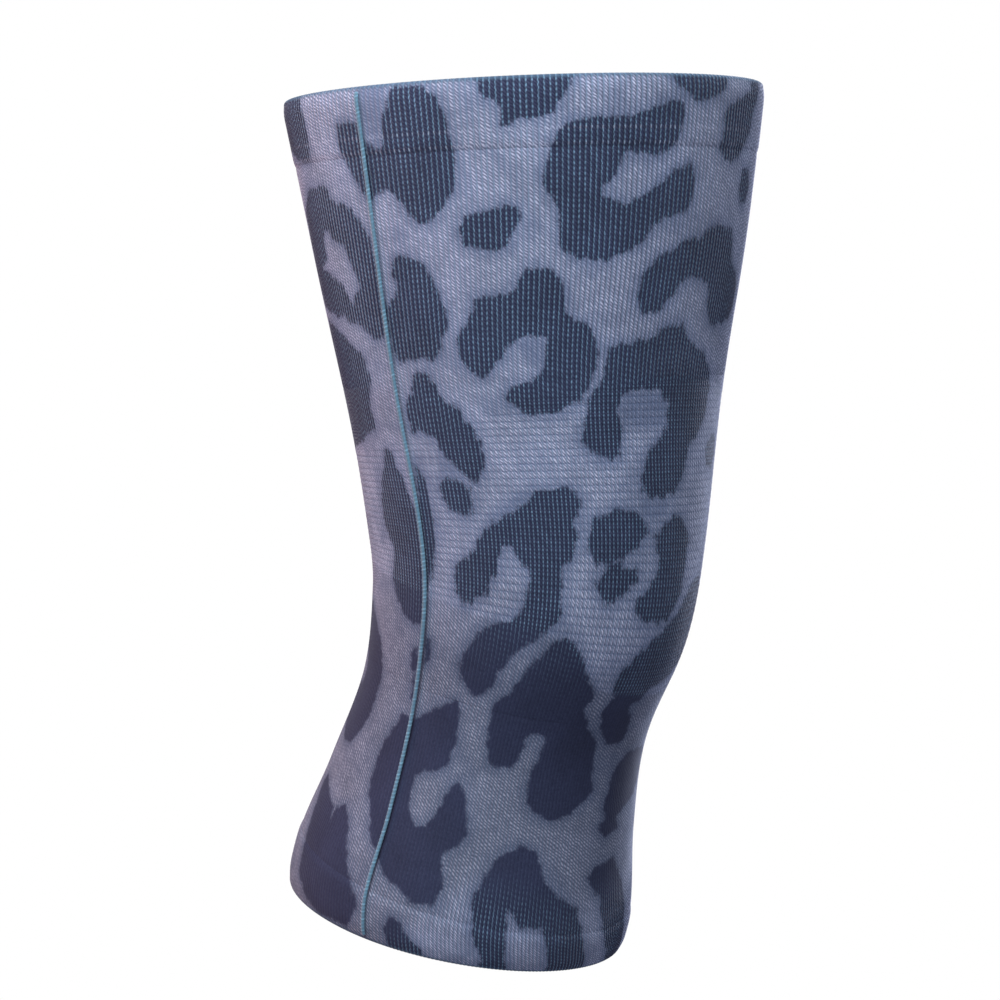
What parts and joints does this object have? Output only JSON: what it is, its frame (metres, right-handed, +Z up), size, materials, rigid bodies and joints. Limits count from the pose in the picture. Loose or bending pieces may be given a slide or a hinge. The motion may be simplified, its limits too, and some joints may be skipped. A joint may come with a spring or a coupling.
{
  "type": "knee sleeve",
  "caption": "Pull-on knit knee sleeve in its worn form, a shaped rib-knit tube with a doubled hem at each end and one raised side seam, in a spotted print.",
  "frame": {"origin": "the middle of the knee, inside the tube", "axes": "+Z up the leg, -Y the front of the knee, -X the side with the seam"},
  "size_m": [0.1558, 0.162, 0.2853],
  "materials": {
    "printed_knit": "rib knit, lilac grey with charcoal spots",
    "hem_knit": "doubled rib knit, lilac grey with charcoal spots",
    "seam_thread": "teal overlocked seam thread"
  },
  "bodies": {
    "root": {"knit_tube": "printed_knit", "thigh_hem": "hem_knit", "calf_hem": "hem_knit", "side_seam": "seam_thread"}
  },
  "joints": []
}
